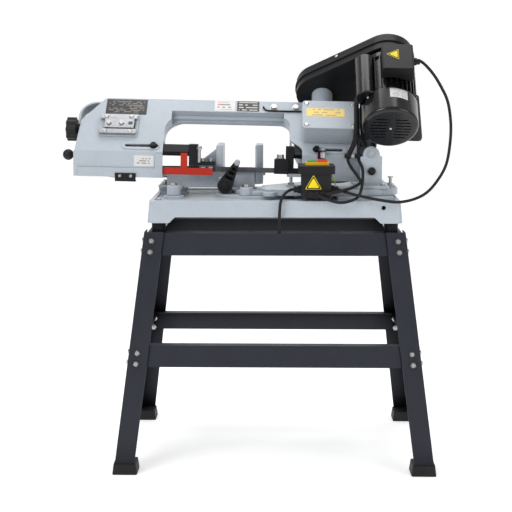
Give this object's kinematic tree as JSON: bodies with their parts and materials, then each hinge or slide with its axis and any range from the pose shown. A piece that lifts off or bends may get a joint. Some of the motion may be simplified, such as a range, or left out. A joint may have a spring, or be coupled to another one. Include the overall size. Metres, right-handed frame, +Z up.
{
  "type": "band saw",
  "caption": "Swivel-head metal-cutting band saw on a splayed four-leg stand, with a hinged saw arm, belt-driven motor, blade guides and a screw vise.",
  "frame": {"origin": "centre of the saw's bounding box, on the floor under the feet", "axes": "+Z up; +X along the blade from the idler wheel towards the drive wheel and the arm's pivot; the operator stands at -Y"},
  "size_m": [0.9452, 0.4782, 1.0341],
  "materials": {
    "casting_paint": "light blue-grey enamel over a fine sand-cast texture",
    "stand_paint": "satin charcoal powder coat",
    "black_paint": "satin black paint",
    "motor_black": "gloss black paint",
    "black_plastic": "moulded black plastic",
    "zinc": "bright zinc plate",
    "ground_steel": "ground steel",
    "blade_steel": "blued spring steel",
    "iron": "machined grey iron",
    "bronze": "bronze",
    "rubber_black": "black rubber",
    "guard_red": "red enamel",
    "frame_yellow": "yellow plastic",
    "button_green": "green plastic",
    "button_red": "red plastic"
  },
  "bodies": {
    "stand": {"stand_legs": "stand_paint", "top_rails": "stand_paint", "lower_rails": "stand_paint", "rubber_feet": "rubber_black", "stand_bolts": "zinc", "base_spacers": "stand_paint", "base_bolts": "zinc", "base_casting": "casting_paint", "swivel_pin": "zinc", "vise_bed": "casting_paint", "vise_bolts": "zinc", "fixed_jaw": "casting_paint", "power_cable": "rubber_black"},
    "vise_jaw": {"movable_jaw": "casting_paint"},
    "vise_screw": {"vise_screw": "ground_steel"},
    "swivel": {"swivel_plate": "casting_paint", "pivot_bracket": "casting_paint", "swivel_bolts": "zinc", "pivot_shaft": "ground_steel", "switch_box": "black_plastic", "switch_lid": "black_plastic", "switch_frame": "frame_yellow", "cable_glands": "black_plastic"},
    "lock_lever": {"lock_lever": "black_paint"},
    "start_button": {"start_button": "button_green"},
    "stop_button": {"stop_button": "button_red"},
    "arm": {"arm_casting": "casting_paint", "gearbox_cover": "casting_paint", "arm_screws": "zinc", "arm_brackets": "black_paint", "belt_guard_back": "black_paint", "belt_guard_cover": "black_paint", "v_belt": "rubber_black", "motor_plate": "black_paint", "motor_body": "motor_black", "fan_cowl": "motor_black", "capacitor_cover": "motor_black", "terminal_box": "black_plastic", "motor_cable": "rubber_black", "blade": "blade_steel", "tension_gibs": "ground_steel", "drive_cover": "casting_paint", "idler_cover": "casting_paint", "lift_knob": "black_plastic", "right_guide_bar": "black_paint", "right_guide_block": "black_paint"},
    "tension_slide": {"tension_slide": "ground_steel"},
    "tension_knob": {"tension_knob": "black_plastic"},
    "idler": {"idler_wheel": "iron"},
    "drive": {"drive_wheel": "iron", "drive_shaft": "ground_steel", "worm_gear": "bronze"},
    "worm": {"worm_shaft": "ground_steel", "worm_pulley": "iron"},
    "rotor": {"rotor": "iron", "motor_pulley": "iron"},
    "left_guide": {"left_guide_bar": "black_paint", "left_guide_block": "black_paint", "left_guide_rollers": "ground_steel", "red_guard": "guard_red"}
  },
  "joints": [
    {"name": "swivel_turn", "type": "hinge", "parent": "stand", "child": "swivel", "pos_m": [0.00328, 0, 0.648], "axis": [0, 0, 1], "range_deg": [0, 45]},
    {"name": "arm_pivot", "type": "hinge", "parent": "swivel", "child": "arm", "pos_m": [0.28628, 0, 0.705], "axis": [0, 1, 0], "range_deg": [0, 60]},
    {"name": "vise_screw_turn", "type": "hinge", "parent": "stand", "child": "vise_screw", "pos_m": [-0.23872, 0.072, 0.684], "axis": [1, 0, 0], "range_deg": [-3620, 7040]},
    {"name": "vise_jaw_slide", "type": "slide", "parent": "stand", "child": "vise_jaw", "axis": [1, 0, 0], "range_m": [-0.04, 0.078]},
    {"name": "lever_turn", "type": "hinge", "parent": "swivel", "child": "lock_lever", "pos_m": [-0.07072, -0.036, 0.668], "axis": [0, 1, 0], "range_deg": [0, 45]},
    {"name": "start_press", "type": "slide", "parent": "swivel", "child": "start_button", "axis": [0, 0, -1], "range_m": [0, 0.003]},
    {"name": "stop_press", "type": "slide", "parent": "swivel", "child": "stop_button", "axis": [0, 0, -1], "range_m": [0, 0.004]},
    {"name": "tension_knob_turn", "type": "hinge", "parent": "arm", "child": "tension_knob", "pos_m": [-0.45573, 0.0389, 0.80126], "axis": [0.9997, 0, -0.0227], "range_deg": [-15, 1815]},
    {"name": "tension_travel", "type": "slide", "parent": "arm", "child": "tension_slide", "axis": [0.9997, 0, -0.0227], "range_m": [0, 0.01]},
    {"name": "motor_spin", "type": "hinge", "parent": "arm", "child": "rotor", "pos_m": [0.3243, -0.04525, 0.88186], "axis": [0.016, 0.7071, 0.7069], "continuous": true},
    {"name": "worm_spin", "type": "hinge", "parent": "arm", "child": "worm", "pos_m": [0.16864, 0.0297, 0.81042], "axis": [0.016, 0.7071, 0.7069], "continuous": true},
    {"name": "drive_spin", "type": "hinge", "parent": "arm", "child": "drive", "pos_m": [0.20252, 0.06293, 0.76085], "axis": [0.016, -0.7071, 0.7069], "continuous": true},
    {"name": "idler_spin", "type": "hinge", "parent": "tension_slide", "child": "idler", "pos_m": [-0.33734, 0.06293, 0.7731], "axis": [0.016, -0.7071, 0.7069], "continuous": true},
    {"name": "left_guide_slide", "type": "slide", "parent": "arm", "child": "left_guide", "axis": [0.9997, 0, -0.0227], "range_m": [-0.02, 0]}
  ],
  "couplings": [
    {"joint": "vise_screw_turn", "follows": "vise_jaw_slide", "rad_per_m": 1570.8},
    {"joint": "tension_knob_turn", "follows": "tension_travel", "rad_per_m": 3141.6},
    {"joint": "worm_spin", "follows": "motor_spin", "ratio": 0.68889},
    {"joint": "drive_spin", "follows": "motor_spin", "ratio": 0.028704},
    {"joint": "idler_spin", "follows": "motor_spin", "ratio": 0.028704}
  ]
}
